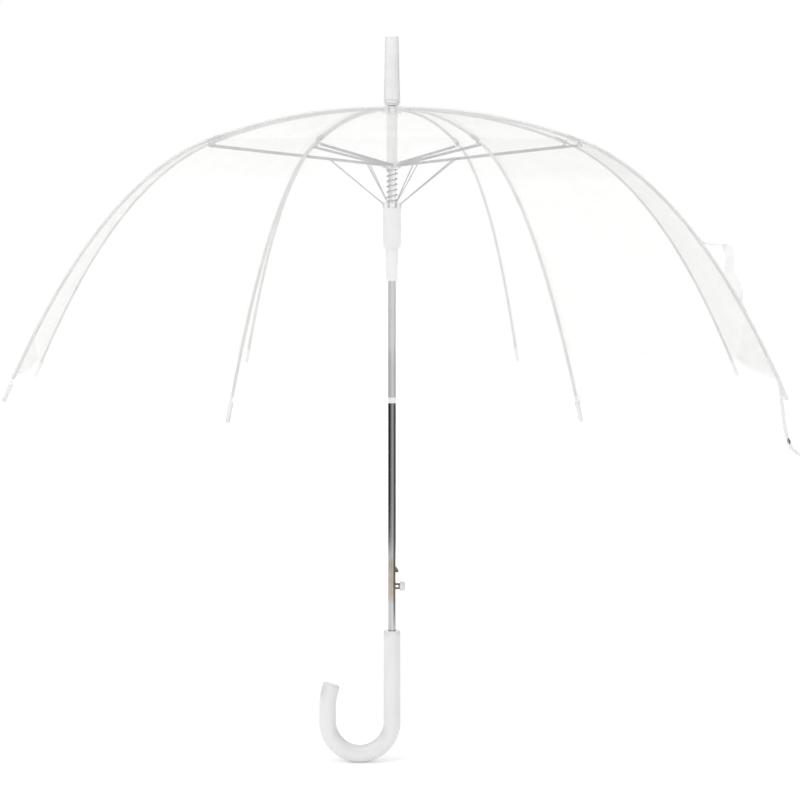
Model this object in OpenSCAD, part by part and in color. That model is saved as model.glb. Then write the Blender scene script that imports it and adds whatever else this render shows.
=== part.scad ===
// Clear dome stick umbrella with a hook handle and an automatic opening linkage.
// Millimetres, +Z up. The origin is on the shaft axis at the middle of the grip.

/* [Overall] */
// Height of the ferrule tip above the lowest point of the hook
total_height = 838; // [800:1:880]
// Height of the middle of the grip above the lowest point of the hook
grip_height = 100; // [90:1:110]
// Height of the rib pivots above the lowest point of the hook
crown_height = 755.5; // [720:0.5:790]

/* [Shaft] */
// Outside radius of the steel tube
shaft_r = 4.5; // [4:0.1:5]
// Wall thickness of the steel tube
shaft_wall = 0.8; // [0.5:0.1:1]
// Height of the bottom of the catch slot
slot_low = 193; // [190:1:200]
// Height of the top of the catch slot
slot_high = 239; // [235:1:245]
// Width of the catch slot
slot_w = 3.4; // [3:0.1:4]
// Height of the pin the catch turns on
catch_pivot_height = 142; // [138:1:148]

/* [Handle] */
// Radius of the grip
handle_r = 10; // [9:0.1:11]
// Radius of the hook's centreline
hook_r = 37.4; // [34:0.1:42]
// Height of the top of the grip
handle_top = 155; // [150:1:165]
// Height of the end of the hook
hook_end = 93; // [80:1:100]

/* [Ferrule] */
// Radius at the tip of the ferrule
ferrule_tip_r = 7.5; // [6:0.1:8]
// Radius at the foot of the ferrule
ferrule_foot_r = 9.0; // [8:0.1:10]
// Height of the foot of the ferrule
ferrule_foot = 763; // [760:0.5:766]

/* [Ribs] */
// Radius of the ring of rib pivots
crown_r = 8.8; // [8.6:0.1:10]
// Radius from the shaft to the bend joints of the ribs
bend_r = 224; // [210:1:235]
// Height of the bend joints
bend_height = 718.5; // [705:0.5:722]
// Length of the outer part of a rib along its curve
outer_length = 378; // [360:1:390]
// Width and thickness of a rib
rib_w = 3.0; // [2.6:0.1:3.4]
// Slope of the outer rib at its bend joint, degrees
slope_start = 20; // [17:0.5:23]
// How much steeper the outer rib gets towards its tip, degrees
slope_gain = 51.5; // [48:0.5:54]
// Length over which the slope settles
slope_length = 182; // [165:1:200]
// Direction of the first rib from the X axis, degrees
first_rib = -65.8; // [-90:0.1:0]

/* [Film] */
// Thickness of the film
film_t = 0.4; // [0.3:0.1:0.8]
// Gap between the rib's centreline and the film's inner face
film_lift = 3.0; // [2.8:0.1:4]
// Half the gap at a seam between two panels
seam_gap = 0.25; // [0.2:0.05:0.5]

/* [Linkage] */
// Radius of the pivots on the upper hub
hub_r = 8.8; // [8.6:0.1:10]
// Height of the pivots on the upper hub
hub_height = 692; // [688:0.5:696]
// Radius of the pivots on the runner
runner_pivot_r = 9.5; // [9:0.1:10]
// Height of the pivots on the runner
runner_height = 647; // [640:0.5:650]
// Distance from the hub pivot to the point where a link reaches its stretcher
link_reach = 69.4; // [60:0.1:80]
// Sideways distance of a stretcher from the middle plane of its rib
stretcher_side = 4.3; // [4.1:0.1:4.6]
// Wire radius of a link
link_wire_r = 0.7; // [0.5:0.1:0.8]

/* [Closing] */
// Angle below the horizon of a closed inner rib
closed_inner = 86; // [84:0.5:87]
// Travel of the runner from open to the catch
runner_travel = 338; // [330:1:345]

/* [Hidden] */
pin_r = 0.7;
bore_r = 0.75;
eye_r = 2.1;
eye_w = 2.4;
notch_w = 3.2;
rib_count = 8;
rib_step = 360 / rib_count;
curve_steps = 12;
round_fn = 48;

function level(h) = h - grip_height;
crown_z = level(crown_height);
bend_z = level(bend_height);
hub_z = level(hub_height);
runner_z = level(runner_height);
function rib_turn(k) = first_rib + rib_step * (k - 1);
function gore_turn(k) = rib_turn(k) + rib_step / 2;

// the inner rib is an arc from the crown to the bend joint
chord_r = bend_r - crown_r;
chord_z = crown_z - bend_z;
chord_slope = atan2(chord_z, chord_r);
chord_length = norm([chord_r, chord_z]);
inner_bow = 9.5;
inner_arc_r = (chord_length * chord_length / 4 + inner_bow * inner_bow) / (2 * inner_bow);
inner_half = asin(chord_length / 2 / inner_arc_r);
function inner_slope(t) = chord_slope + inner_half * (2 * t - 1);
function inner_point(t) = [
    crown_r + inner_arc_r * (sin(inner_slope(t)) - sin(inner_slope(0))),
    crown_z - inner_arc_r * (cos(inner_slope(0)) - cos(inner_slope(t)))
];

// the outer rib's slope settles towards a straight tip
function outer_slope(s) = slope_start + slope_gain * (1 - exp(-s / slope_length));
march = 3;
function outer_walk(s, p = [bend_r, bend_z], at = 0) =
    at >= s - 0.001 ? p :
    let (d = min(march, s - at), a = outer_slope(at + d / 2))
    outer_walk(s, [p[0] + d * cos(a), p[1] - d * sin(a)], at + d);

function inner_line(from, to, lift, n) = [
    for (i = [0:n])
        let (t = from + (to - from) * i / n, a = inner_slope(t))
        inner_point(t) + lift * [sin(a), cos(a)]
];
function outer_line(from, to, lift, n) = [
    for (i = [0:n])
        let (s = from + (to - from) * i / n, a = outer_slope(s))
        outer_walk(s) + lift * [sin(a), cos(a)]
];
function backwards(line) = [for (i = [len(line) - 1:-1:0]) line[i]];
function band(low, high) = concat(low, backwards(high));
function squeeze(line, f) = [for (p = line) [p[0] * f, p[1]]];

// a flat outline in the radius-height plane, given a width across it
module upright(w) {
    rotate([90, 0, 0])
        linear_extrude(height = w, center = true)
            children();
}

// a pin, eye or bore lying across the radius-height plane
module across(r, w, at, side = 0) {
    translate([at[0], side, at[1]])
        rotate([90, 0, 0])
            cylinder(r = r, h = w, center = true, $fn = round_fn);
}

module ring(r_out, r_in, low, high) {
    difference() {
        translate([0, 0, low])
            cylinder(r = r_out, h = high - low, $fn = round_fn);
        translate([0, 0, low - 1])
            cylinder(r = r_in, h = high - low + 2, $fn = round_fn);
    }
}

shaft_foot = level(122);
shaft_head = level(780);

module shaft() {
    color([0.75, 0.76, 0.78])
    difference() {
        ring(shaft_r, shaft_r - shaft_wall, shaft_foot, shaft_head);
        translate([0, -slot_w / 2, level(slot_low)])
            cube([shaft_r + 2, slot_w, slot_high - slot_low]);
        across(0.65, 20, [0, level(catch_pivot_height)]);
    }
    // the catch's pivot pin is a separate piece in the tube's two holes
    color([0.6, 0.6, 0.62])
        across(0.6, 2 * shaft_r - 0.5, [0, level(catch_pivot_height)]);
}

module handle() {
    hook_z = level(hook_r + handle_r);
    round_r = 4;
    arm_lean = 17;
    arm_bend_r = 60;
    arm_end = 9;
    arm_rise = level(hook_end) - hook_z - arm_bend_r * sin(arm_lean) - arm_end;
    overlap = 1;
    taper = 5;
    color([0.97, 0.97, 0.98])
    difference() {
        union() {
            translate([0, 0, hook_z])
                cylinder(r = handle_r, h = level(handle_top) - taper - hook_z, $fn = round_fn);
            translate([0, 0, level(handle_top) - taper])
                cylinder(r1 = handle_r, r2 = handle_r - 0.5, h = taper, $fn = round_fn);
            translate([-hook_r, 0, hook_z])
                rotate([90, 0, 0])
                    rotate([0, 0, 180])
                        rotate_extrude(angle = 180, $fn = 96)
                            translate([hook_r, 0])
                                circle(r = handle_r, $fn = round_fn);
            // the straight arm runs into both bends, a hair thinner, so that all three fuse
            translate([-2 * hook_r, 0, hook_z - overlap])
                cylinder(r = handle_r - 0.04, h = arm_rise + 2 * overlap, $fn = round_fn);
            // the arm leans in a little before its rounded end
            translate([arm_bend_r - 2 * hook_r, 0, hook_z + arm_rise])
                rotate([90, 0, 0])
                    rotate([0, 0, 180 - arm_lean])
                        rotate_extrude(angle = arm_lean, $fn = 96)
                            translate([arm_bend_r, 0])
                                circle(r = handle_r, $fn = round_fn);
            translate([arm_bend_r - 2 * hook_r, 0, hook_z + arm_rise])
                rotate([0, arm_lean, 0])
                    translate([-arm_bend_r, 0, 0])
                        rotate_extrude($fn = round_fn) {
                            square([handle_r - round_r, arm_end]);
                            square([handle_r, arm_end - round_r]);
                            translate([handle_r - round_r, arm_end - round_r])
                                intersection() {
                                    circle(r = round_r, $fn = round_fn);
                                    square([round_r, round_r]);
                                }
                        }
        }
        translate([0, 0, level(121)])
            cylinder(r = shaft_r + 0.05, h = 60, $fn = round_fn);
    }
}

module ferrule() {
    foot = level(ferrule_foot);
    tip = level(total_height);
    color([0.96, 0.96, 0.97])
    difference() {
        union() {
            translate([0, 0, foot])
                cylinder(r = ferrule_foot_r + 0.4, h = 3, $fn = round_fn);
            translate([0, 0, foot + 2.9])
                cylinder(r1 = ferrule_foot_r, r2 = ferrule_tip_r, h = tip - foot - 4.4, $fn = round_fn);
            translate([0, 0, tip - 1.5])
                cylinder(r1 = ferrule_tip_r, r2 = ferrule_tip_r - 1, h = 1.5, $fn = round_fn);
        }
        translate([0, 0, foot - 1])
            cylinder(r = shaft_r + 0.05, h = level(781) - foot + 1, $fn = round_fn);
    }
}

module canopy_cap() {
    color([0.95, 0.95, 0.96])
        ring(8.2, shaft_r + 0.05, level(760.4), level(ferrule_foot) - 0.02);
}

// the notched ring that holds the ribs, with the pins they turn on and its lower sleeve
module crown() {
    color([0.95, 0.95, 0.96])
    union() {
        difference() {
            ring(crown_r + 1.6, shaft_r + 0.05, crown_z - 4.5, crown_z + 2.4);
            for (k = [1:rib_count])
                rotate([0, 0, rib_turn(k)])
                    translate([6.45, -notch_w / 2, crown_z - 10])
                        cube([10, notch_w, 20]);
        }
        ring(6.3, shaft_r + 0.05, level(734.3), crown_z - 4.4);
        for (k = [1:rib_count])
            rotate([0, 0, rib_turn(k)])
                across(pin_r, notch_w + 1, [crown_r, crown_z]);
    }
}

// the upper hub carries the stretchers and slides on the shaft
module upper_hub() {
    color([0.95, 0.95, 0.96])
    union() {
        difference() {
            ring(hub_r + 1.7, shaft_r + 0.1, hub_z - 3.5, hub_z + 3.5);
            for (k = [1:rib_count])
                rotate([0, 0, rib_turn(k)]) {
                    translate([6.3, stretcher_side - notch_w / 2, hub_z - 10])
                        cube([10, notch_w, 20]);
                    // room for a folded link to lie past the hub
                    translate([8.6, -1.2, hub_z - 10])
                        cube([10, 2.4, 20]);
                }
        }
        ring(6.0, shaft_r + 0.1, hub_z - 3.5, level(734));
        for (k = [1:rib_count])
            rotate([0, 0, rib_turn(k)])
                across(pin_r, notch_w + 0.8, [hub_r, hub_z], stretcher_side);
    }
}

// the runner carries the links; the wide part is pushed down by hand to close
module runner() {
    wide_low = level(598);
    narrow_low = level(560);
    color([0.96, 0.96, 0.97])
    union() {
        difference() {
            union() {
                ring(runner_pivot_r + 1.4, shaft_r + 0.1, runner_z - 3.5, runner_z + 2.5);
                ring(10.3, shaft_r + 0.1, wide_low, runner_z - 3.4);
                ring(7.1, shaft_r + 0.1, narrow_low + 6, wide_low + 0.1);
                ring(6.7, shaft_r + 0.1, narrow_low, narrow_low + 6.1);
            }
            for (k = [1:rib_count])
                rotate([0, 0, rib_turn(k)])
                    translate([7.4, -1.2, runner_z - 3.6])
                        cube([10, 2.4, 20]);
            translate([0, -catch_window / 2, narrow_low + 3])
                cube([12, catch_window, 14]);
        }
        for (k = [1:rib_count])
            rotate([0, 0, rib_turn(k)])
                across(pin_r, 3.4, [runner_pivot_r, runner_z]);
    }
}

// a round bar swept along a helix
function coil_point(i, j, turns, per_turn, sides, r, wire, low, high) =
    let (
        a = 360 * i / per_turn,
        b = 360 * j / sides,
        z = low + (high - low) * i / (turns * per_turn)
    )
    [(r + wire * cos(b)) * cos(a), (r + wire * cos(b)) * sin(a), z + wire * sin(b)];

module coil(r, wire, turns, low, high) {
    per_turn = 20;
    sides = 8;
    steps = turns * per_turn;
    points = [
        for (i = [0:steps])
            for (j = [0:sides - 1])
                coil_point(i, j, turns, per_turn, sides, r, wire, low, high)
    ];
    skin = [
        for (i = [0:steps - 1])
            for (j = [0:sides - 1])
                let (a = i * sides + j, b = i * sides + (j + 1) % sides)
                [a, a + sides, b + sides, b]
    ];
    polyhedron(
        points,
        concat(skin, [[for (j = [0:sides - 1]) j]],
            [[for (j = [sides - 1:-1:0]) steps * sides + j]])
    );
}

module spring() {
    low = runner_z + 2.5 + 1.05;
    high = hub_z - 3.5 - 1.05;
    color([0.35, 0.36, 0.38])
        coil(5.9, 0.7, 6, low, high);
}

// a bent bronze strip inside the tube; its tooth holds the closed runner
module catch() {
    color([0.62, 0.42, 0.22])
    difference() {
        union() {
            translate([0, 0, level(catch_pivot_height)])
                rotate([90, 0, 0])
                    cylinder(r = 1.8, h = 2.4, center = true, $fn = round_fn);
            upright(2.4)
                polygon([
                    [-0.7, level(catch_pivot_height)],
                    [0.9, level(catch_pivot_height)],
                    [2.2, level(195)],
                    [2.2, level(222.2)],
                    [7.7, level(223.2)],
                    [7.7, level(224.6)],
                    [2.4, level(233)],
                    [0.7, level(233)],
                    [0.7, level(195)]
                ]);
        }
        across(0.65, 20, [0, level(catch_pivot_height)]);
    }
}

// the push button: a bronze stem and a clear cap
module button() {
    z = level(206.5);
    color([0.93, 0.93, 0.94])
    union() {
        translate([9.8, 0, z])
            rotate([0, 90, 0])
                cylinder(r = 5.4, h = 4.2, $fn = round_fn);
        translate([14, 0, z])
            rotate([0, 90, 0])
                cylinder(r1 = 5.4, r2 = 4.4, h = 1.1, $fn = round_fn);
        translate([2.6, -1.2, z - 3])
            cube([7.3, 2.4, 6]);
    }
}

// inner rib: an eye on the crown pin, a curved bar and a fork at the bend joint
module rib_inner(k) {
    start = [crown_r, crown_z];
    finish = [bend_r, bend_z];
    color([0.9, 0.91, 0.92])
    rotate([0, 0, rib_turn(k)])
    difference() {
        union() {
            across(eye_r, eye_w, start);
            upright(eye_w)
                polygon(band(
                    inner_line(0, 0.03, -rib_w / 2, 2),
                    inner_line(0, 0.03, rib_w / 2, 2)
                ));
            upright(rib_w)
                polygon(band(
                    inner_line(0.025, 0.986, -rib_w / 2, curve_steps),
                    inner_line(0.025, 0.986, rib_w / 2, curve_steps)
                ));
            for (side = [-1, 1])
                translate([0, side * 1.6, 0]) {
                    upright(0.8)
                        polygon(band(
                            inner_line(0.95, 1, -rib_w / 2, 2),
                            inner_line(0.95, 1, rib_w / 2, 2)
                        ));
                    across(rib_w / 2 + 0.4, 0.8, finish);
                }
            across(pin_r, 3.2, finish);
        }
        across(bore_r, 10, start);
    }
}

// outer rib: an eye in the fork, a curved bar and a round tip cap
module rib_outer(k) {
    start = [bend_r, bend_z];
    cap_from = outer_length - 22;
    cap_slope = outer_slope(outer_length);
    cap_at = outer_walk(cap_from);
    color([0.9, 0.91, 0.92])
    rotate([0, 0, rib_turn(k)])
    union() {
        difference() {
            union() {
                across(1.5, 1.6, start);
                upright(1.6)
                    polygon(band(
                        outer_line(0, 6, -1.2, 2),
                        outer_line(0, 6, 1.2, 2)
                    ));
                upright(rib_w)
                    polygon(band(
                        outer_line(4.5, cap_from + 3, -rib_w / 2, 2 * curve_steps),
                        outer_line(4.5, cap_from + 3, rib_w / 2, 2 * curve_steps)
                    ));
            }
            across(bore_r, 10, start);
        }
        translate([cap_at[0], 0, cap_at[1]])
            rotate([0, 90 + cap_slope, 0]) {
                cylinder(r = 2.6, h = 20, $fn = round_fn);
                translate([0, 0, 20])
                    cylinder(r1 = 2.6, r2 = 1.4, h = 2, $fn = round_fn);
            }
    }
}

// upper film panel, flat from rib to rib, from the crown to the level of the bend joints
gore_cos = cos(rib_step / 2);
module wedge(r, shrink) {
    linear_extrude(height = 2000, center = true)
        polygon([
            [shrink, 0],
            [r, (r - shrink) * tan(rib_step / 2)],
            [r, -(r - shrink) * tan(rib_step / 2)]
        ]);
}

seam_shift = seam_gap / sin(rib_step / 2);

module gore_upper(k) {
    from = -0.012;
    to = 0.988;
    color([0.9, 0.95, 1, 0.3])
    rotate([0, 0, gore_turn(k)])
    intersection() {
        upright(2 * bend_r)
            polygon(band(
                squeeze(inner_line(from, to, film_lift, curve_steps), gore_cos),
                squeeze(inner_line(from, to, film_lift + film_t, curve_steps), gore_cos)
            ));
        wedge(bend_r + 50, seam_shift);
    }
}

hem_at = outer_length - 20;

module gore_lower(k) {
    from = 0.6;
    color([0.9, 0.95, 1, 0.3])
    rotate([0, 0, gore_turn(k)])
    intersection() {
        upright(2.4 * bend_r)
            polygon(band(
                squeeze(outer_line(from, hem_at, film_lift, 2 * curve_steps), gore_cos),
                squeeze(outer_line(from, hem_at, film_lift + film_t, 2 * curve_steps), gore_cos)
            ));
        wedge(2.5 * bend_r, seam_shift);
    }
}

// stretcher: hangs on the upper hub and reaches the bend joint beside the rib
stretch_to = [bend_r - 0.8, bend_z - 4.2];
stretch_from = [hub_r, hub_z];
stretch_length = norm(stretch_to - stretch_from);
stretch_rise = atan2(stretch_to[1] - stretch_from[1], stretch_to[0] - stretch_from[0]);

module stretcher(k) {
    color([0.7, 0.71, 0.73])
    rotate([0, 0, rib_turn(k)])
    translate([stretch_from[0], stretcher_side, stretch_from[1]])
    rotate([0, -stretch_rise, 0])
    difference() {
        union() {
            across(eye_r - 0.2, eye_w, [0, 0]);
            across(eye_r - 0.2, eye_w, [stretch_length, 0]);
            translate([0, -eye_w / 2, -1.3])
                cube([stretch_length, eye_w, 2.6]);
        }
        across(bore_r, 10, [0, 0]);
        across(bore_r + 0.3, 10, [stretch_length, 0]);
        translate([4, -eye_w / 2 + 0.5, -2])
            cube([stretch_length - 8, eye_w - 1, 2.8]);
    }
}

// link: a wire from the runner up to its stretcher
link_to = stretch_from + link_reach * [cos(stretch_rise), sin(stretch_rise)];
link_from = [runner_pivot_r, runner_z];
link_length = norm(link_to - link_from);
link_rise = atan2(link_to[1] - link_from[1], link_to[0] - link_from[0]);

module link(k) {
    color([0.6, 0.61, 0.63])
    rotate([0, 0, rib_turn(k)])
    translate([link_from[0], 0, link_from[1]])
    rotate([0, -link_rise, 0])
    difference() {
        union() {
            across(1.6, 1.4, [0, 0]);
            across(1.6, 1.4, [link_length, 0]);
            rotate([0, 90, 0])
                cylinder(r = link_wire_r, h = link_length, $fn = 24);
        }
        across(bore_r, 10, [0, 0]);
        across(bore_r, 10, [link_length, 0]);
    }
}

strap_rib = 2;
keeper_w = 11;
catch_window = 7;

// closing strap: a film band that lies beside the second rib and hangs below the hem
module closing_strap() {
    top = outer_walk(hem_at - 34);
    hem = outer_walk(hem_at);
    lift = film_lift + film_t + 1.1;
    side = -22;
    color([0.9, 0.93, 0.96, 0.6])
    rotate([0, 0, rib_turn(strap_rib)])
    union() {
        translate([0, side, 0])
            upright(14)
                polygon([
                    [top[0] + lift * 0.9, top[1] + lift * 0.4],
                    [hem[0] + lift * 0.9, hem[1] + lift * 0.4],
                    hem + [6.6, -21.6],
                    hem + [11, -51.4],
                    hem + [15.5, -63.5],
                    hem + [20, -71],
                    hem + [27, -75.6],
                    hem + [31, -76.2],
                    hem + [31, -75.3],
                    hem + [27.2, -74.7],
                    hem + [20.6, -70.3],
                    hem + [16.3, -63.1],
                    hem + [11.9, -51.2],
                    hem + [7.5, -21.4],
                    [hem[0] + lift * 0.9 + 0.9, hem[1] + lift * 0.4 + 0.4],
                    [top[0] + lift * 0.9 + 0.9, top[1] + lift * 0.4 + 0.4]
                ]);
        translate([hem[0] + 14.8, side, hem[1] - 61])
            rotate([0, 90 - 20, 0])
                cylinder(r = 4.5, h = 2.4, $fn = round_fn);
    }
}

// keeper: a film band whose ends are welded to the canopy and whose middle stands proud
module strap_keeper() {
    high = outer_walk(183);
    mid = outer_walk(231);
    low = outer_walk(266);
    lift = film_lift + film_t + 1.1;
    color([0.9, 0.93, 0.96, 0.6])
    rotate([0, 0, rib_turn(strap_rib)])
        translate([0, -13, 0])
            upright(keeper_w)
                polygon([
                    [high[0] + lift * 0.7, high[1] + lift * 0.7],
                    high + [32, 0.9],
                    high + [39.9, -10],
                    mid + [14, 0],
                    [low[0] + lift * 0.9, low[1] + lift * 0.5],
                    [low[0] + lift * 0.9 - 0.95, low[1] + lift * 0.5],
                    mid + [13.1, 0],
                    high + [39, -9.7],
                    high + [31.6, 0],
                    [high[0] + lift * 0.7, high[1] + lift * 0.7 - 0.9]
                ]);
}

shaft();
handle();
ferrule();
canopy_cap();
crown();
upper_hub();
runner();
spring();
catch();
button();
closing_strap();
strap_keeper();
for (k = [1:rib_count]) {
    rib_inner(k);
    rib_outer(k);
    gore_upper(k);
    gore_lower(k);
    stretcher(k);
    link(k);
}
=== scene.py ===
import bpy
import math
from mathutils import Vector, Matrix


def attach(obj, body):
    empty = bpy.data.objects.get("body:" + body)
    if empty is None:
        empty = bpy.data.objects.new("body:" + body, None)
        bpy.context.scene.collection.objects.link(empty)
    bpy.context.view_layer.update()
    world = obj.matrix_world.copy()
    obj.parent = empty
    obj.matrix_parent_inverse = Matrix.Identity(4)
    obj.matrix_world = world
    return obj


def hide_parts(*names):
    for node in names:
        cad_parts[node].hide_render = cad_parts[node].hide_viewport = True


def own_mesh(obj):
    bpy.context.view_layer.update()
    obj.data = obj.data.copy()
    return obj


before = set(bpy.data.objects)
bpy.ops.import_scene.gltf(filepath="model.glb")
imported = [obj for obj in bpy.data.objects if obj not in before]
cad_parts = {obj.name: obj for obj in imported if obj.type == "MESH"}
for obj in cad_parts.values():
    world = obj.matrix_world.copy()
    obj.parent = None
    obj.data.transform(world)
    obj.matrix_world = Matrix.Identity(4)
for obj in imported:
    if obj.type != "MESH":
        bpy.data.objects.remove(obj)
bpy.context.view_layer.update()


# ---------------------------------------------------------------- dimensions
MM = 0.001
GRIP = 100.0


def level(h):
    """Height above the hook's lowest point, in mm, to the frame's z in metres."""
    return (h - GRIP) * MM


# radii from the shaft's axis and heights above the hook's lowest point, in mm
CROWN_R, CROWN_H = 8.8, 755.5      # the inner ribs' hinges
BEND_R, BEND_H = 224.0, 718.5      # the bend joints between inner and outer ribs
BOW = 9.5                          # rise of an inner rib above its chord
OUTER = 378.0                      # length of an outer rib
HEM = OUTER - 20.0                 # where the film ends along it
# an outer rib's slope at its joint, how much it steepens (degrees), and over what length
SLOPE, GAIN, SETTLE = 20.0, 51.5, 182.0
LIFT = 3.2                         # film above the rib's centre line
STEP, FIRST = 45.0, -65.8          # angle from rib to rib, and of rib 1
STRAP_RIB = 2
ROD = 0.00155                      # radius of a rib, in metres
SEAM_W, HEM_W = 4.5, 6.0           # welded seam along a rib, and folded hem
STRAP_W, KEEPER_W = 14.0, 11.0
STRAP_SIDE, KEEPER_SIDE = -22.0, -13.0   # how far they sit beside their rib
RUNNER_TOP, HUB_FOOT = 647.0, 692.0
BUTTON_H = 206.5
FERRULE_FOOT, TOP = 763.0, 838.0

chord_r, chord_h = BEND_R - CROWN_R, CROWN_H - BEND_H
chord_len = math.hypot(chord_r, chord_h)
chord_slope = math.atan2(chord_h, chord_r)
arc_r = (chord_len ** 2 / 4 + BOW ** 2) / (2 * BOW)
arc_half = math.asin(chord_len / 2 / arc_r)


def inner(t, lift=0.0):
    """Point of the inner rib in its own plane: distance from the shaft and height, mm."""
    a = chord_slope + arc_half * (2 * t - 1)
    a0 = chord_slope - arc_half
    r = CROWN_R + arc_r * (math.sin(a) - math.sin(a0))
    h = CROWN_H - arc_r * (math.cos(a0) - math.cos(a))
    return r + lift * math.sin(a), h + lift * math.cos(a), a


# the outer rib's curve, walked in steps of 1 mm as (distance, height, slope)
outer_table = []
r, h, s = BEND_R, BEND_H, 0.0
while s < OUTER + 0.5:
    a = math.radians(SLOPE + GAIN * (1 - math.exp(-s / SETTLE)))
    outer_table.append((r, h, a))
    mid = math.radians(SLOPE + GAIN * (1 - math.exp(-(s + 0.5) / SETTLE)))
    r += math.cos(mid)
    h -= math.sin(mid)
    s += 1.0


def outer(s, lift=0.0):
    """Point of the outer rib, s mm along it from its bend joint."""
    s = max(0.0, min(OUTER, s))
    i = min(int(s), len(outer_table) - 2)
    f = s - i
    p, q = outer_table[i], outer_table[i + 1]
    a = p[2] + (q[2] - p[2]) * f
    r = p[0] + (q[0] - p[0]) * f
    h = p[1] + (q[1] - p[1]) * f
    return r + lift * math.sin(a), h + lift * math.cos(a), a


def rib_angle(k):
    return math.radians(FIRST + STEP * (k - 1))


def gore_angle(k):
    return rib_angle(k) + math.radians(STEP / 2)


def spot(angle, r, h, side=0.0):
    """A point r from the shaft at height h, side mm to the left of that direction."""
    return Vector((
        (r * math.cos(angle) - side * math.sin(angle)) * MM,
        (r * math.sin(angle) + side * math.cos(angle)) * MM,
        level(h),
    ))


# ---------------------------------------------------------------- mesh tools
def piece(name, verts, faces, mats, body, replaces=(), marks=None):
    """A mesh of our own that rides on a body. marks gives each face the index of its material."""
    mesh = bpy.data.meshes.new(name)
    mesh.from_pydata([tuple(v) for v in verts], [], faces)
    for m in mats:
        mesh.materials.append(m)
    if marks:
        mesh.polygons.foreach_set("material_index", marks)
    mesh.polygons.foreach_set("use_smooth", [True] * len(mesh.polygons))
    mesh.validate()
    mesh.update()
    obj = bpy.data.objects.new(name, mesh)
    bpy.context.scene.collection.objects.link(obj)
    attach(obj, body)
    if replaces:
        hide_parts(*replaces)
    return obj


def sweep(path, radii, sides=14, up=Vector((0, 0, 1)), flat=None):
    """A closed round bar along path. radii is one number or one for each point, and flat
    squeezes it sideways."""
    verts, faces = [], []
    n = len(path)
    if not isinstance(radii, (list, tuple)):
        radii = [radii] * n
    flat = flat or [1.0] * n
    for i, p in enumerate(path):
        d = (path[min(i + 1, n - 1)] - path[max(i - 1, 0)]).normalized()
        x = d.cross(up)
        if x.length < 1e-6:
            x = d.cross(Vector((1, 0, 0)))
        x.normalize()
        y = x.cross(d).normalized()
        for j in range(sides):
            b = 2 * math.pi * j / sides
            verts.append(p + (x * math.cos(b) * flat[i] + y * math.sin(b)) * radii[i])
    for i in range(n - 1):
        for j in range(sides):
            a, b = i * sides + j, i * sides + (j + 1) % sides
            faces.append((a, b, b + sides, a + sides))
    faces.append(tuple(range(sides))[::-1])
    faces.append(tuple((n - 1) * sides + j for j in range(sides)))
    return verts, faces


def lathe(profile, sides=64, at=Vector((0, 0, 0)), turn=None):
    """A solid of revolution from a closed outline of (radius, z) points in mm and metres."""
    turn = turn or Matrix.Identity(3)
    verts, faces = [], []
    n = len(profile)
    for r, z in profile:
        for j in range(sides):
            b = 2 * math.pi * j / sides
            verts.append(at + turn @ Vector((r * MM * math.cos(b), r * MM * math.sin(b), z)))
    for i in range(n):
        for j in range(sides):
            a, b = i * sides + j, i * sides + (j + 1) % sides
            c, d = (i + 1) % n * sides + j, (i + 1) % n * sides + (j + 1) % sides
            faces.append((a, b, d, c))
    return verts, faces


def join(*parts):
    """Several (verts, faces) as one."""
    verts, faces = [], []
    for v, f in parts:
        base = len(verts)
        verts += list(v)
        faces += [tuple(base + i for i in face) for face in f]
    return verts, faces


def rounded(corners, r, steps=4):
    """A closed outline of (x, y) corners with each corner rounded to radius r or less."""
    out = []
    n = len(corners)
    for i in range(n):
        p, q, w = (Vector(corners[(i + k) % n]) for k in (-1, 0, 1))
        u, v = (p - q), (w - q)
        cut = min(r, u.length * 0.45, v.length * 0.45)
        u, v = u.normalized() * cut, v.normalized() * cut
        for j in range(steps + 1):
            t = j / steps
            out.append(tuple(q + u * (1 - t) ** 2 + v * t ** 2))
    return out


# ---------------------------------------------------------------- materials
def material(name):
    m = bpy.data.materials.new(name)
    m.use_nodes = True
    t = m.node_tree
    t.nodes.clear()
    return m, t, t.nodes.new("ShaderNodeOutputMaterial")


def node(t, kind, **inputs):
    n = t.nodes.new(kind)
    for key, value in inputs.items():
        n.inputs[key.replace("_", " ")].default_value = value
    return n


def coords(t, scale=(1, 1, 1)):
    c = t.nodes.new("ShaderNodeTexCoord")
    m = node(t, "ShaderNodeMapping", Scale=scale)
    t.links.new(c.outputs["Object"], m.inputs["Vector"])
    return m.outputs["Vector"]


def noise(t, scale, detail=4.0, vector=None, rough=0.5):
    n = node(t, "ShaderNodeTexNoise", Scale=scale, Detail=detail, Roughness=rough)
    t.links.new(vector if vector is not None else coords(t), n.inputs["Vector"])
    return n.outputs["Fac"]


def ramp(t, fac, stops):
    n = t.nodes.new("ShaderNodeValToRGB")
    e = n.color_ramp.elements
    while len(e) < len(stops):
        e.new(0.5)
    for el, (pos, col) in zip(e, stops):
        el.position = pos
        el.color = col if len(col) == 4 else (*col, 1)
    t.links.new(fac, n.inputs["Fac"])
    return n.outputs["Color"]


def spread(t, fac, low, high):
    n = node(t, "ShaderNodeMapRange", To_Min=low, To_Max=high)
    t.links.new(fac, n.inputs["Value"])
    return n.outputs["Result"]


def edge_bump(t, height, strength, distance, radius):
    """A bump on top of slightly rounded edges."""
    bevel = node(t, "ShaderNodeBevel", Radius=radius)
    bump = node(t, "ShaderNodeBump", Strength=strength, Distance=distance)
    t.links.new(height, bump.inputs["Height"])
    t.links.new(bevel.outputs["Normal"], bump.inputs["Normal"])
    return bump.outputs["Normal"]


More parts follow.
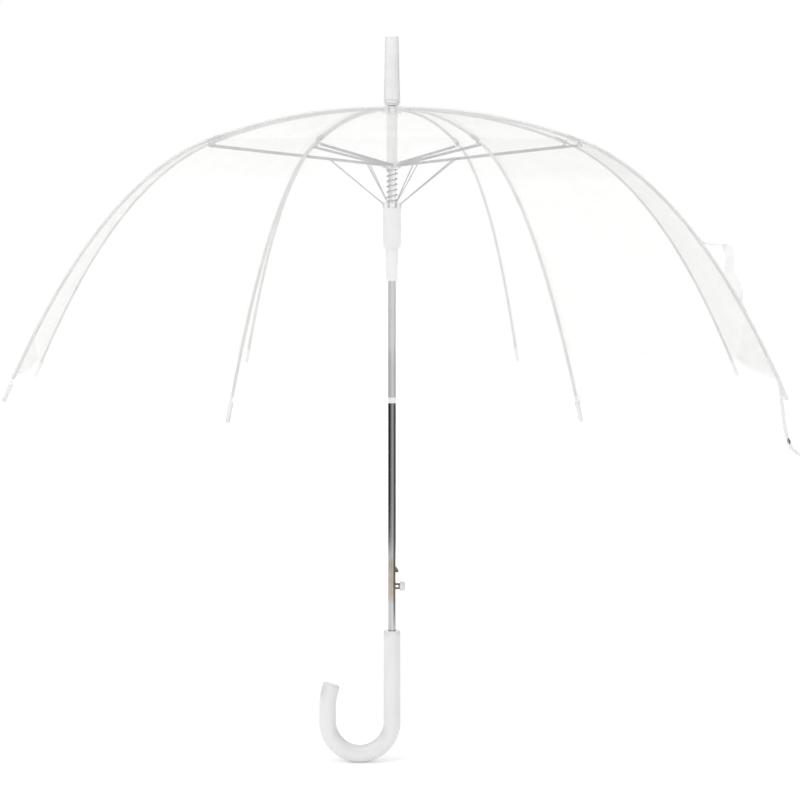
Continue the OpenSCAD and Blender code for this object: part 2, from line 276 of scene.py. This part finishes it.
def plastic(name, light, dark, rough, wear_scale=22.0, coat=0.3, radius=0.0006, coat_ior=1.5):
    """Moulded plastic with clouded colour, scuffs and rounded edges."""
    m, t, out = material(name)
    b = node(t, "ShaderNodeBsdfPrincipled", IOR=1.49, Coat_Weight=coat, Coat_Roughness=0.06,
             Coat_IOR=coat_ior)
    cloud = noise(t, wear_scale, 6.0)
    t.links.new(ramp(t, cloud, [(0.3, dark), (0.62, light)]), b.inputs["Base Color"])
    scuff = noise(t, 160.0, 8.0, rough=0.7)
    t.links.new(spread(t, scuff, rough * 0.75, rough * 1.5), b.inputs["Roughness"])
    fine = noise(t, 900.0, 3.0)
    t.links.new(edge_bump(t, fine, 0.12, 0.0002, radius), b.inputs["Normal"])
    t.links.new(b.outputs["BSDF"], out.inputs["Surface"])
    return m


def metal(name, light, dark, rough, streak=(400, 400, 6), bump=0.08, radius=0.0002, stretches=()):
    """Drawn metal with fine streaks. Each stretch is (low, high, colour, least share, most share)."""
    m, t, out = material(name)
    b = node(t, "ShaderNodeBsdfPrincipled", Metallic=1.0)
    v = coords(t, streak)
    lines = noise(t, 1.6, 5.0, v, 0.6)
    base = ramp(t, lines, [(0.3, dark), (0.65, light)])
    for low, high, tint, least, most in stretches:
        # a stretch between two heights in another tone, in blotches
        sep = t.nodes.new("ShaderNodeSeparateXYZ")
        t.links.new(coords(t, (1, 1, 1)), sep.inputs["Vector"])
        share = spread(t, noise(t, 140.0, 3.0), least, most)
        for at, into in ((low, 0.004), (high, -0.004)):
            step = t.nodes.new("ShaderNodeMapRange")
            step.inputs["From Min"].default_value = at - into
            step.inputs["From Max"].default_value = at + into
            t.links.new(sep.outputs["Z"], step.inputs["Value"])
            product = t.nodes.new("ShaderNodeMath")
            product.operation = "MULTIPLY"
            t.links.new(share, product.inputs[0])
            t.links.new(step.outputs["Result"], product.inputs[1])
            share = product.outputs["Value"]
        mix = t.nodes.new("ShaderNodeMix")
        mix.data_type = "RGBA"
        t.links.new(share, mix.inputs["Factor"])
        t.links.new(base, mix.inputs["A"])
        mix.inputs["B"].default_value = (*tint, 1)
        base = mix.outputs["Result"]
    t.links.new(base, b.inputs["Base Color"])
    t.links.new(spread(t, noise(t, 120.0, 6.0), rough * 0.7, rough * 1.5), b.inputs["Roughness"])
    t.links.new(edge_bump(t, lines, bump, 0.0001, radius), b.inputs["Normal"])
    t.links.new(b.outputs["BSDF"], out.inputs["Surface"])
    return m


def film(name, tint, edge_tint, haze, gloss_rough, wave=9.0, wave_strength=0.25, milk=(1.0, 1.0, 1.0),
         edge_gloss=0.4):
    """Clear vinyl: mostly see-through, a little milky, and denser where it is seen edge on."""
    m, t, out = material(name)
    facing = node(t, "ShaderNodeLayerWeight", Blend=0.5)
    clear = t.nodes.new("ShaderNodeBsdfTransparent")
    cloud = noise(t, 5.0, 3.0)
    tone = t.nodes.new("ShaderNodeMix")
    tone.data_type = "RGBA"
    dense = t.nodes.new("ShaderNodeMath")
    dense.operation = "POWER"
    dense.inputs[1].default_value = 2.5
    t.links.new(facing.outputs["Facing"], dense.inputs[0])
    t.links.new(dense.outputs["Value"], tone.inputs["Factor"])
    t.links.new(ramp(t, cloud, [(0.35, tint[0]), (0.65, tint[1])]), tone.inputs["A"])
    t.links.new(ramp(t, cloud, [(0.35, edge_tint[0]), (0.65, edge_tint[1])]), tone.inputs["B"])
    t.links.new(tone.outputs["Result"], clear.inputs["Color"])
    gloss = t.nodes.new("ShaderNodeBsdfGlossy")
    gloss.inputs["Color"].default_value = (0.93, 0.95, 0.97, 1)
    t.links.new(spread(t, noise(t, 60.0, 5.0), gloss_rough * 0.6, gloss_rough * 1.8),
                gloss.inputs["Roughness"])
    waves = noise(t, wave, 4.0, rough=0.45)
    bump = node(t, "ShaderNodeBump", Strength=wave_strength, Distance=0.004)
    t.links.new(waves, bump.inputs["Height"])
    t.links.new(bump.outputs["Normal"], gloss.inputs["Normal"])
    edge = t.nodes.new("ShaderNodeMath")
    edge.operation = "POWER"
    edge.inputs[1].default_value = 5.0
    t.links.new(facing.outputs["Facing"], edge.inputs[0])
    share = t.nodes.new("ShaderNodeMath")
    share.operation = "MULTIPLY_ADD"
    share.inputs[1].default_value = edge_gloss
    share.inputs[2].default_value = 0.03
    t.links.new(edge.outputs["Value"], share.inputs[0])
    mix = t.nodes.new("ShaderNodeMixShader")
    t.links.new(share.outputs["Value"], mix.inputs["Fac"])
    t.links.new(clear.outputs["BSDF"], mix.inputs[1])
    t.links.new(gloss.outputs["BSDF"], mix.inputs[2])
    front = t.nodes.new("ShaderNodeBsdfDiffuse")
    front.inputs["Color"].default_value = (*milk, 1)
    through = t.nodes.new("ShaderNodeBsdfTranslucent")
    through.inputs["Color"].default_value = (*milk, 1)
    body = node(t, "ShaderNodeMixShader", Fac=0.5)
    t.links.new(front.outputs["BSDF"], body.inputs[1])
    t.links.new(through.outputs["BSDF"], body.inputs[2])
    veil = t.nodes.new("ShaderNodeMixShader")
    t.links.new(spread(t, noise(t, 24.0, 5.0), haze * 0.85, haze * 1.15), veil.inputs["Fac"])
    t.links.new(mix.outputs["Shader"], veil.inputs[1])
    t.links.new(body.outputs["Shader"], veil.inputs[2])
    t.links.new(veil.outputs["Shader"], out.inputs["Surface"])
    return m


M_FILM = film("clear_film", [(0.982, 0.982, 0.978), (0.994, 0.994, 0.99)],
              [(0.885, 0.885, 0.85), (0.925, 0.925, 0.89)], 0.33, 0.05, edge_gloss=0.5)
M_FILM_TOP = film("clear_film_top", [(0.985, 0.985, 0.98), (0.996, 0.996, 0.99)],
                  [(0.96, 0.96, 0.94), (0.98, 0.98, 0.965)], 0.34, 0.05, 14.0, 0.5, edge_gloss=0.15)
M_SEAM = film("welded_seam", [(0.95, 0.95, 0.94), (0.965, 0.963, 0.945)],
              [(0.93, 0.93, 0.90), (0.95, 0.95, 0.93)], 0.45, 0.09, 40.0, 0.2, (0.98, 0.98, 0.97), 0.2)
M_HEM = film("folded_hem", [(0.97, 0.97, 0.97), (0.985, 0.985, 0.98)],
             [(0.90, 0.90, 0.88), (0.92, 0.92, 0.90)], 0.70, 0.08, 30.0, 0.2)
M_STRAP = film("strap_film", [(0.94, 0.94, 0.935), (0.955, 0.955, 0.95)],
               [(0.86, 0.86, 0.85), (0.88, 0.88, 0.87)], 0.50, 0.10, 16.0, 0.2, (0.93, 0.93, 0.925))
M_KEEPER = film("keeper_film", [(0.95, 0.95, 0.955), (0.965, 0.965, 0.965)],
                [(0.88, 0.88, 0.87), (0.90, 0.90, 0.89)], 0.40, 0.08, 25.0, 0.3, (0.95, 0.95, 0.95))
M_HANDLE = plastic("handle_gloss_white", (0.675, 0.675, 0.675), (0.655, 0.655, 0.655), 0.20,
                   coat=0.6, radius=0.001, coat_ior=1.7)
M_WHITE = plastic("moulded_white", (0.70, 0.70, 0.70), (0.65, 0.65, 0.65), 0.28, 40.0, 0.2, 0.0004)
M_FERRULE = plastic("ferrule_white", (0.78, 0.78, 0.78), (0.73, 0.73, 0.73), 0.22, 40.0, 1.0, 0.0004, 2.1)
M_RIB = plastic("rib_grey", (0.58, 0.58, 0.57), (0.46, 0.46, 0.46), 0.3, 60.0, 0.2, 0.0003)
M_TIP = plastic("tip_white", (0.74, 0.74, 0.74), (0.66, 0.66, 0.66), 0.3, 60.0, 0.2, 0.0003)
M_SHAFT = metal("shaft_chromed_steel", (0.61, 0.61, 0.61), (0.47, 0.47, 0.47), 0.10,
                # tarnish round the catch, then painted haze: the shaft is painted near white between the
                # runner and the hub and paler above the hub, standing for light the film in front scatters
                # over it
                stretches=[(level(190), level(239), (0.40, 0.31, 0.22), 0.15, 1.0),
                           (level(649), level(693), (0.98, 0.98, 0.97), 0.85, 1.0),
                           (level(693), level(775), (0.90, 0.91, 0.91), 0.2, 0.6)])
M_STEEL = metal("stretcher_plated_steel", (0.56, 0.57, 0.59), (0.38, 0.39, 0.41), 0.28, (60, 60, 60))
M_FORK = metal("fork_nickel", (0.74, 0.74, 0.73), (0.58, 0.58, 0.57), 0.25, (80, 80, 80))
M_WIRE = metal("link_wire_steel", (0.46, 0.47, 0.48), (0.31, 0.32, 0.33), 0.35, (80, 80, 80))
M_SPRING = metal("spring_steel", (0.16, 0.16, 0.17), (0.08, 0.08, 0.09), 0.32, (90, 90, 90))
M_BRONZE = metal("catch_bronze", (0.27, 0.19, 0.12), (0.14, 0.10, 0.06), 0.35, (120, 120, 60))
M_SNAP = metal("snap_dark_metal", (0.50, 0.50, 0.51), (0.34, 0.34, 0.35), 0.3, (100, 100, 100))
M_BUTTON = plastic("button_clear_white", (0.66, 0.65, 0.65), (0.54, 0.53, 0.53), 0.18, 60.0, 0.5, 0.0003)


def finish_node(name, mat):
    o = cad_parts[name]
    o.data.materials.clear()
    o.data.materials.append(mat)


finish_node("shaft", M_SHAFT)
finish_node("handle", M_HANDLE)
for n in ("canopy_cap", "crown", "upper_hub", "runner"):
    finish_node(n, M_WHITE)
finish_node("catch", M_BRONZE)
for k in range(1, 9):
    finish_node(f"stretcher_{k}", M_STEEL)
    finish_node(f"link_{k}", M_WIRE)

# ---------------------------------------------------------------- ferrule
foot, tip = level(FERRULE_FOOT), level(TOP)
outline = rounded([
    (4.6, foot), (9.2, foot), (9.4, foot + 0.0008), (9.4, foot + 0.0019), (8.2, foot + 0.0023),
    (8.2, foot + 0.0032), (9.15, foot + 0.0036), (9.2, foot + 0.0046), (8.85, foot + 0.009),
    (7.75, tip - 0.006), (7.75, tip - 0.0052), (7.5, tip - 0.0046),
    (7.45, tip - 0.0006), (6.9, tip), (1.2, tip), (1.2, tip - 0.055), (4.6, tip - 0.057),
], 0.0004)
verts, faces = lathe(outline)
piece("ferrule_body", verts, faces, [M_FERRULE], "stick", ["ferrule"])

# ---------------------------------------------------------------- coil spring
low, high = level(RUNNER_TOP + 2.5) + 0.0008, level(HUB_FOOT - 3.5) - 0.0008
wire, coil_r = 0.00058, 0.0060
turns, per_turn = 7.5, 28
closed, pitch = 0.9, 0.0016        # turns that lie closed at each end, and their pitch
path = []
for i in range(int(turns * per_turn) + 1):
    t = i / per_turn
    if t < closed:
        f = t * pitch
    elif t > turns - closed:
        f = (high - low) - (turns - t) * pitch
    else:
        u = (t - closed) / (turns - 2 * closed)
        f = closed * pitch + u * ((high - low) - 2 * closed * pitch)
    a = 2 * math.pi * t
    path.append(Vector((coil_r * math.cos(a), coil_r * math.sin(a), low + f)))
verts, faces = sweep(path, wire, 10)
coil = piece("coil_spring", verts, faces, [M_SPRING], "runner", ["spring"])
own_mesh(coil)

# ---------------------------------------------------------------- push button
face = Matrix.Rotation(math.radians(90), 3, "Y")
z = level(BUTTON_H)
cap = rounded([
    (0.3, 0.0092), (1.4, 0.0088), (5.2, 0.0090), (5.4, 0.0096), (5.4, 0.0128),
    (5.0, 0.0146), (3.4, 0.0152), (0.3, 0.0150),
], 0.0003)
verts, faces = lathe(cap, 48, Vector((0, 0, z)), face)
piece("button_cap", verts, faces, [M_BUTTON], "button", ["button"])
stem_parts = []
for dz in (-0.0024, 0.0024):
    stem_parts.append(sweep(
        [Vector((x, 0, z + dz)) for x in (0.0028, 0.003, 0.0094)], [0.0008, 0.0011, 0.0011], 12,
        up=Vector((0, 1, 0))))
stem_parts.append(sweep(
    [Vector((0.0084, 0, z - 0.0034)), Vector((0.0084, 0, z + 0.0034))], 0.0009, 12))
verts, faces = join(*stem_parts)
piece("button_stem", verts, faces, [M_BRONZE], "button")

# ---------------------------------------------------------------- ribs
for k in range(1, 9):
    g = rib_angle(k)
    # inner rib: flat eye at the crown, round rod, fork at the bend joint
    path, radii, flat = [], [], []
    for i in range(29):
        t = i / 28 * 0.985
        r, h, a = inner(t)
        path.append(spot(g, r, h))
        radii.append(ROD)
        flat.append(0.75 if t < 0.03 else 1.0)
    rod = sweep(path, radii, 12, flat=flat)
    side = Vector((-math.sin(g), math.cos(g), 0))
    eye_at = spot(g, CROWN_R, CROWN_H)
    eye = sweep([eye_at + side * v for v in (-0.0012, -0.0009, 0.0009, 0.0012)],
                [0.0018, 0.0021, 0.0021, 0.0018], 20)
    sleeve = sweep([spot(g, *inner(t)[:2]) for t in (0.93, 0.935, 0.965, 0.97)],
                   [0.0017, 0.0022, 0.0022, 0.0018], 14)
    cheeks = []
    joint = spot(g, BEND_R, BEND_H)
    for d in (-1, 1):
        cheeks.append(sweep([spot(g, *inner(t)[:2], side=d * 1.65) for t in (0.96, 0.975, 0.998)],
                            [0.0012, 0.0016, 0.0017], 10, flat=[0.35] * 3))
    rivet = sweep([joint + side * v for v in (-0.0024, -0.0021, 0.0021, 0.0024)],
                  [0.0006, 0.0010, 0.0010, 0.0006], 14)
    # bracket below the joint that the stretcher's end sits beside
    tab = sweep([spot(g, BEND_R - dr, BEND_H - dh) for dr, dh in ((2.4, 1.2), (1.2, 3.4), (0.8, 5.0))],
                [0.0010, 0.0016, 0.0012], 12, flat=[0.8] * 3)
    verts, faces = join(rod, eye, sleeve, *cheeks, rivet, tab)
    body = f"rib_inner_{k}"
    plain = len(rod[1]) + len(eye[1])
    marks = [0] * plain + [1] * (len(faces) - plain)
    piece(f"inner_rod_{k}", verts, faces, [M_RIB, M_FORK], body, [body], marks)
    # outer rib and its tip cap
    path = [spot(g, *outer(1.2 + (OUTER - 20.2) * i / 44)[:2]) for i in range(45)]
    rod = sweep(path, [0.0009, 0.0013] + [ROD] * 43, 12, flat=[0.5, 0.6] + [1.0] * 43)
    r0, h0, a0 = outer(OUTER - 22)
    dip = a0 + 0.02
    d = Vector((math.cos(g) * math.cos(dip), math.sin(g) * math.cos(dip), -math.sin(dip)))
    base = spot(g, r0, h0)
    cap_len = [0.0, 0.0006, 0.002, 0.0035, 0.0042, 0.016, 0.0195, 0.0212, 0.0218]
    cap_rad = [0.0018, 0.0024, 0.0026, 0.0026, 0.0023, 0.0021, 0.0024, 0.0018, 0.0007]
    capm = sweep([base + d * v for v in cap_len], cap_rad, 18)
    verts, faces = join(rod, capm)
    marks = [0] * len(rod[1]) + [1] * len(capm[1])
    body = f"rib_outer_{k}"
    piece(f"outer_rod_{k}", verts, faces, [M_RIB, M_TIP], body, [body], marks)

# ---------------------------------------------------------------- film
half = math.radians(STEP / 2)


def gore_sheet(name, k, rows, body, film_mat, hem_rows=0):
    """One film panel. rows are the film's (distance, height) at the ribs, and it sags a little between."""
    g = gore_angle(k)
    verts, faces, marks = [], [], []
    spans = 22
    for i, (r, h) in enumerate(rows):
        w = r * math.sin(half)
        e = min(0.3, SEAM_W / w)
        middle = [(-1 + e) + (2 - 2 * e) * j / (spans - 2) for j in range(1, spans - 2)]
        cols = [-1, -1 + e] + middle + [1 - e, 1]
        for v in cols:
            across = w * v
            sag = 0.010 * r * (1 - v * v) if r > 20 else 0.0
            verts.append(spot(g, r * math.cos(half) - sag * 0.9, h - sag * 0.25, across))
    n = len(verts) // len(rows)
    for i in range(len(rows) - 1):
        for j in range(n - 1):
            a = i * n + j
            faces.append((a, a + 1, a + 1 + n, a + n))
            marks.append(2 if i >= len(rows) - 1 - hem_rows else 1 if j in (0, n - 2) else 0)
    obj = piece(name, verts, faces, [film_mat, M_SEAM, M_HEM], body, [body], marks)
    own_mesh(obj)


upper_rows = [(7.2, 760.0), (8.6, 759.2)] + [inner(0.02 + 0.98 * i / 16, LIFT)[:2] for i in range(17)]
lower_rows = [inner(1.0, LIFT)[:2]] + [outer((HEM - HEM_W) * i / 32, LIFT)[:2] for i in range(1, 33)]
lower_rows.append(outer(HEM, LIFT)[:2])
for k in range(1, 9):
    gore_sheet(f"film_upper_{k}", k, upper_rows, f"gore_upper_{k}", M_FILM_TOP)
    gore_sheet(f"film_lower_{k}", k, lower_rows, f"gore_lower_{k}", M_FILM, hem_rows=1)


# ---------------------------------------------------------------- strap and keeper
def band(line, width, angle, side, thick=0.9, twist=None):
    """A flat band of film along line, which is (distance, height) points in mm."""
    verts, faces = [], []
    n = len(line)
    for i, (r, h) in enumerate(line):
        p, q = line[max(i - 1, 0)], line[min(i + 1, n - 1)]
        d = math.hypot(q[0] - p[0], q[1] - p[1])
        nr, nh = -(q[1] - p[1]) / d, (q[0] - p[0]) / d
        turn = math.radians(twist(i / (n - 1))) if twist else 0.0
        for lift in (-thick / 2, thick / 2):
            for s in (-width / 2, -width / 2 + 0.3, width / 2 - 0.3, width / 2):
                up = lift * math.cos(turn) + s * math.sin(turn)
                across = s * math.cos(turn) - lift * math.sin(turn)
                verts.append(spot(angle, r + nr * up, h + nh * up, side + across))
    ring = [0, 1, 2, 3, 7, 6, 5, 4]
    for i in range(n - 1):
        for j in range(8):
            a, b = ring[j], ring[(j + 1) % 8]
            faces.append((i * 8 + a, i * 8 + b, (i + 1) * 8 + b, (i + 1) * 8 + a))
    faces.append(tuple(ring[::-1]))
    faces.append(tuple((n - 1) * 8 + j for j in ring))
    return verts, faces


def smooth_line(points, per=8):
    """Catmull-Rom through points."""
    out = []
    n = len(points)
    for i in range(n - 1):
        four = (points[max(i - 1, 0)], points[i], points[i + 1], points[min(i + 2, n - 1)])
        for j in range(per):
            t = j / per
            out.append(tuple(
                0.5 * (2 * b + (c - a) * t + (2 * a - 5 * b + 4 * c - d) * t * t
                       + (3 * b - a - 3 * c + d) * t ** 3)
                for a, b, c, d in zip(*four)))
    out.append(points[-1])
    return out


g = rib_angle(STRAP_RIB)
off = LIFT + 1.6
hem_r, hem_h, _ = outer(HEM, off)
strap = smooth_line([
    outer(HEM - 33, off)[:2], outer(HEM - 18, off)[:2], (hem_r, hem_h), (hem_r + 3.4, hem_h - 22),
    (hem_r + 5.6, hem_h - 40), (hem_r + 8.0, hem_h - 53), (hem_r + 11.8, hem_h - 64.5),
    (hem_r + 16.2, hem_h - 72), (hem_r + 22.2, hem_h - 76.6), (hem_r + 27.0, hem_h - 77.4)])
strap_body = f"rib_outer_{STRAP_RIB}"
verts, faces = band(strap, STRAP_W, g, STRAP_SIDE)
strap_piece = piece("closing_strap_band", verts, faces, [M_STRAP], strap_body,
                    ["closing_strap"])
snap_dir = Vector((math.cos(g) * 0.94, math.sin(g) * 0.94, 0.342))
turn = snap_dir.to_track_quat("Z", "Y").to_matrix()
snap = rounded([
    (0.2, -0.0016), (2.6, -0.0016), (3.4, -0.0008), (3.4, 0.0004), (2.9, 0.0009), (1.9, 0.0010),
    (1.6, 0.0016), (0.2, 0.0016)], 0.0002)
verts, faces = lathe(snap, 32, spot(g, hem_r + 11.3, hem_h - 63.0, STRAP_SIDE), turn)
piece("strap_snap", verts, faces, [M_SNAP], strap_body)

# the keeper stands off its rib in a loose loop and comes back to it lower down
high_p, mid_p, low_p = outer(183), outer(227), outer(260)
loop = smooth_line([
    outer(176, off)[:2], outer(183, off + 0.4)[:2], (high_p[0] + 16, high_p[1] + 0.8),
    (high_p[0] + 27.5, high_p[1] + 0.4), (high_p[0] + 32.4, high_p[1] - 4.0),
    (high_p[0] + 35.4, high_p[1] - 14), (mid_p[0] + 9.4, mid_p[1] + 6), (low_p[0] + 3.2, low_p[1] + 14),
    outer(262, off)[:2], outer(272, off)[:2]], 7)


def face_out(u):
    """The loop's band turns to show its face on its way down, and lies flat at both ends."""
    rise = min(1.0, max(0.0, (u - 0.30) / 0.16))
    fall = min(1.0, max(0.0, (0.88 - u) / 0.22))
    return 58 * (rise * rise * (3 - 2 * rise)) * (fall * fall * (3 - 2 * fall))


verts, faces = band(loop, KEEPER_W, g, KEEPER_SIDE, twist=face_out)
keeper = piece("strap_keeper_loop", verts, faces, [M_KEEPER], strap_body,
               ["strap_keeper"])

# ---------------------------------------------------------------- floor, light, camera
floor_z = level(0) - 0.0002
mesh = bpy.data.meshes.new("floor")
size, cells = 150.0, 40            # half the floor's width in metres
row = cells + 1
pts = [(-size + 2 * size * i / cells, -size + 2 * size * j / cells, floor_z)
       for j in range(row) for i in range(row)]
quads = [(j * row + i, j * row + i + 1, (j + 1) * row + i + 1, (j + 1) * row + i)
         for j in range(cells) for i in range(cells)]
mesh.from_pydata(pts, [], quads)
floor = bpy.data.objects.new("floor", mesh)
bpy.context.scene.collection.objects.link(floor)
m, t, out = material("floor_pale")
b = node(t, "ShaderNodeBsdfDiffuse")
t.links.new(ramp(t, noise(t, 0.8, 2.0), [(0.3, (0.95, 0.95, 0.95)), (0.7, (0.96, 0.96, 0.96))]),
            b.inputs["Color"])
glow = node(t, "ShaderNodeEmission", Strength=0.12)
glow.inputs["Color"].default_value = (1, 1, 1, 1)
both = t.nodes.new("ShaderNodeAddShader")
t.links.new(b.outputs["BSDF"], both.inputs[0])
t.links.new(glow.outputs["Emission"], both.inputs[1])
t.links.new(both.outputs["Shader"], out.inputs["Surface"])
mesh.materials.append(m)

world = bpy.data.worlds.new("studio")
bpy.context.scene.world = world
world.use_nodes = True
w = world.node_tree
w.nodes.clear()
wout = w.nodes.new("ShaderNodeOutputWorld")
seen = w.nodes.new("ShaderNodeBackground")
seen.inputs["Color"].default_value = (1, 1, 1, 1)
seen.inputs["Strength"].default_value = 1.0
tc = w.nodes.new("ShaderNodeTexCoord")


def surround(base, front, left):
    """A soft surround, brightest in front of the object and a little brighter on its left."""
    dot = w.nodes.new("ShaderNodeVectorMath")
    dot.operation = "DOT_PRODUCT"
    dot.inputs[1].default_value = (-left, -front, 0)
    w.links.new(tc.outputs["Generated"], dot.inputs[0])
    add = w.nodes.new("ShaderNodeMath")
    add.operation = "ADD"
    add.inputs[1].default_value = base
    w.links.new(dot.outputs["Value"], add.inputs[0])
    back = w.nodes.new("ShaderNodeBackground")
    w.links.new(add.outputs["Value"], back.inputs["Strength"])
    back.inputs["Color"].default_value = (1, 1, 1, 1)
    return back


# the camera sees white, reflections see a darker room, and all other light is the soft surround
soft = surround(0.94, 0.40, 0.10)
shiny = surround(0.44, 0.0, 0.05)
lp = w.nodes.new("ShaderNodeLightPath")
mixg = w.nodes.new("ShaderNodeMixShader")
w.links.new(lp.outputs["Is Glossy Ray"], mixg.inputs["Fac"])
w.links.new(soft.outputs["Background"], mixg.inputs[1])
w.links.new(shiny.outputs["Background"], mixg.inputs[2])
mixw = w.nodes.new("ShaderNodeMixShader")
w.links.new(lp.outputs["Is Camera Ray"], mixw.inputs["Fac"])
w.links.new(mixg.outputs["Shader"], mixw.inputs[1])
w.links.new(seen.outputs["Background"], mixw.inputs[2])
w.links.new(mixw.outputs["Shader"], wout.inputs["Surface"])

sun = bpy.data.lights.new("key_sun", "SUN")
sun.energy = 0.35
sun.angle = math.radians(50)
sun_obj = bpy.data.objects.new("key_sun", sun)
bpy.context.scene.collection.objects.link(sun_obj)
sun_obj.rotation_euler = Vector((0.50, 0.42, -0.76)).to_track_quat("-Z", "Y").to_euler()
fill = bpy.data.lights.new("fill_soft", "AREA")
fill.shape = "RECTANGLE"
fill.size = fill.size_y = 1.4
fill.energy = 2.5
fill_obj = bpy.data.objects.new("fill_soft", fill)
bpy.context.scene.collection.objects.link(fill_obj)
fill_at, fill_aim = Vector((-1.5, -2.2, 1.9)), Vector((0, 0, 0.3))
fill_obj.location = fill_at
fill_obj.rotation_euler = (fill_aim - fill_at).to_track_quat("-Z", "Y").to_euler()


def reflection_card(name, azimuth, half_width, distance, low, high, tone):
    """A curved studio card that only shows in reflections, so that polished metal has streaks.

    azimuth and half_width are degrees, 0 at the camera and 90 on its right; low and high are
    metres above the floor.
    """
    pts, quads = [], []
    steps = 12
    for i in range(steps + 1):
        a = math.radians(azimuth - half_width + 2 * half_width * i / steps)
        for z in (low, high):
            pts.append((distance * math.sin(a), -distance * math.cos(a), level(0) + z))
    for i in range(steps):
        quads.append((2 * i, 2 * i + 2, 2 * i + 3, 2 * i + 1))
    card = bpy.data.meshes.new(name)
    card.from_pydata(pts, [], quads)
    m, t, out = material(name)
    d = t.nodes.new("ShaderNodeEmission")
    d.inputs["Color"].default_value = (tone, tone, tone * 1.02, 1)
    t.links.new(d.outputs["Emission"], out.inputs["Surface"])
    card.materials.append(m)
    o = bpy.data.objects.new(name, card)
    bpy.context.scene.collection.objects.link(o)
    o.visible_camera = o.visible_diffuse = o.visible_shadow = o.visible_transmission = False


reflection_card("card_behind_left", -160, 28, 1.8, 0.0, 0.85, 0.30)
reflection_card("card_behind_right", 146, 38, 1.8, 0.0, 0.85, 0.22)
reflection_card("card_behind_low", 180, 16, 0.5, 0.12, 0.36, 1.2)
reflection_card("card_left", -88, 42, 1.8, 0.0, 0.70, 0.03)
reflection_card("card_left_mid", -30, 16, 1.8, 0.0, 0.70, 0.26)
reflection_card("card_front", 13, 27, 1.8, 0.0, 0.70, 0.52)
reflection_card("card_right_mid", 51, 11, 1.0, 0.0, 0.60, 0.28)
reflection_card("card_right", 84, 22, 1.0, 0.10, 0.60, 0.09)
reflection_card("card_right_low", 84, 22, 1.0, 0.0, 0.10, 0.26)

# lens in mm, distance in metres, height in mm above the hook's lowest point, tilt in degrees
LENS, CAMERA_BACK, CAMERA_H, TILT = 125.37, 3.1955, 692.2, 4.82
cam = bpy.data.cameras.new("camera")
cam.sensor_width = 36
cam.lens = LENS
cam.shift_x = 0.01
cam.clip_end = 200
cam_obj = bpy.data.objects.new("camera", cam)
bpy.context.scene.collection.objects.link(cam_obj)
cam_obj.location = (0, -CAMERA_BACK, level(CAMERA_H))
cam_obj.rotation_euler = (math.radians(90 - TILT), 0, 0)
bpy.context.scene.camera = cam_obj
bpy.context.scene.view_settings.view_transform = "Standard"
